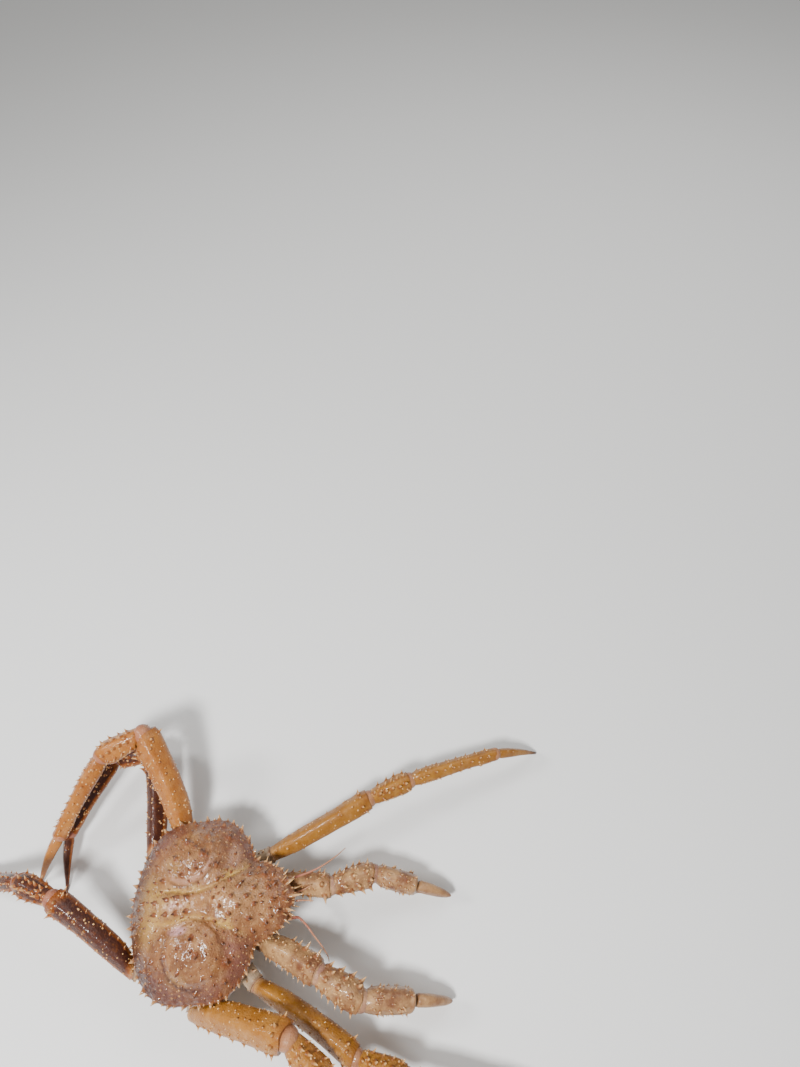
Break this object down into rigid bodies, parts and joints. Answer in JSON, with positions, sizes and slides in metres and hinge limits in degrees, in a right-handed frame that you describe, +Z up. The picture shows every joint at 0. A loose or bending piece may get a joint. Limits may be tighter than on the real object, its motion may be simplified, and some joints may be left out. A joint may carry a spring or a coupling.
{
  "type": "red king crab",
  "caption": "Life-size still model of a red king crab standing on the tips of its walking legs, with a spiny shell, claws and feelers.",
  "frame": {"origin": "bottom centre of the bounding box, on the floor the crab stands on", "axes": "+Z up; the crab faces -Y; its left side is +X"},
  "size_m": [0.5076, 0.7934, 0.1316],
  "materials": {
    "carapace_shell": "wet satin shell",
    "leg_shell": "wet satin shell",
    "claw_shell": "wet satin shell",
    "under_shell": "satin pale shell",
    "feeler_shell": "satin shell",
    "eye_dark": "glossy"
  },
  "bodies": {
    "root": {"carapace": "carapace_shell", "thorax": "under_shell", "abdomen": "under_shell", "mouth_left": "under_shell", "eye_stalk_left": "feeler_shell", "eye_left": "eye_dark", "feeler_base_left": "feeler_shell", "feeler_left": "feeler_shell", "small_feeler_left": "feeler_shell", "small_leg_left": "leg_shell", "claw_left_ischium": "claw_shell", "claw_left_merus": "claw_shell", "claw_left_carpus": "claw_shell", "claw_left_palm": "claw_shell", "claw_left_finger": "claw_shell", "front_leg_left_ischium": "leg_shell", "front_leg_left_merus": "leg_shell", "front_leg_left_carpus": "leg_shell", "front_leg_left_propodus": "leg_shell", "front_leg_left_dactyl": "leg_shell", "middle_leg_left_ischium": "leg_shell", "middle_leg_left_merus": "leg_shell", "middle_leg_left_carpus": "leg_shell", "middle_leg_left_propodus": "leg_shell", "middle_leg_left_dactyl": "leg_shell", "rear_leg_left_ischium": "leg_shell", "rear_leg_left_merus": "leg_shell", "rear_leg_left_carpus": "leg_shell", "rear_leg_left_propodus": "leg_shell", "rear_leg_left_dactyl": "leg_shell", "mouth_right": "under_shell", "eye_stalk_right": "feeler_shell", "eye_right": "eye_dark", "feeler_base_right": "feeler_shell", "feeler_right": "feeler_shell", "small_feeler_right": "feeler_shell", "small_leg_right": "leg_shell", "claw_right_ischium": "claw_shell", "claw_right_merus": "claw_shell", "claw_right_carpus": "claw_shell", "claw_right_palm": "claw_shell", "claw_right_finger": "claw_shell", "front_leg_right_ischium": "leg_shell", "front_leg_right_merus": "leg_shell", "front_leg_right_carpus": "leg_shell", "front_leg_right_propodus": "leg_shell", "front_leg_right_dactyl": "leg_shell", "middle_leg_right_ischium": "leg_shell", "middle_leg_right_merus": "leg_shell", "middle_leg_right_carpus": "leg_shell", "middle_leg_right_propodus": "leg_shell", "middle_leg_right_dactyl": "leg_shell", "rear_leg_right_ischium": "leg_shell", "rear_leg_right_merus": "leg_shell", "rear_leg_right_carpus": "leg_shell", "rear_leg_right_propodus": "leg_shell", "rear_leg_right_dactyl": "leg_shell"}
  },
  "joints": []
}
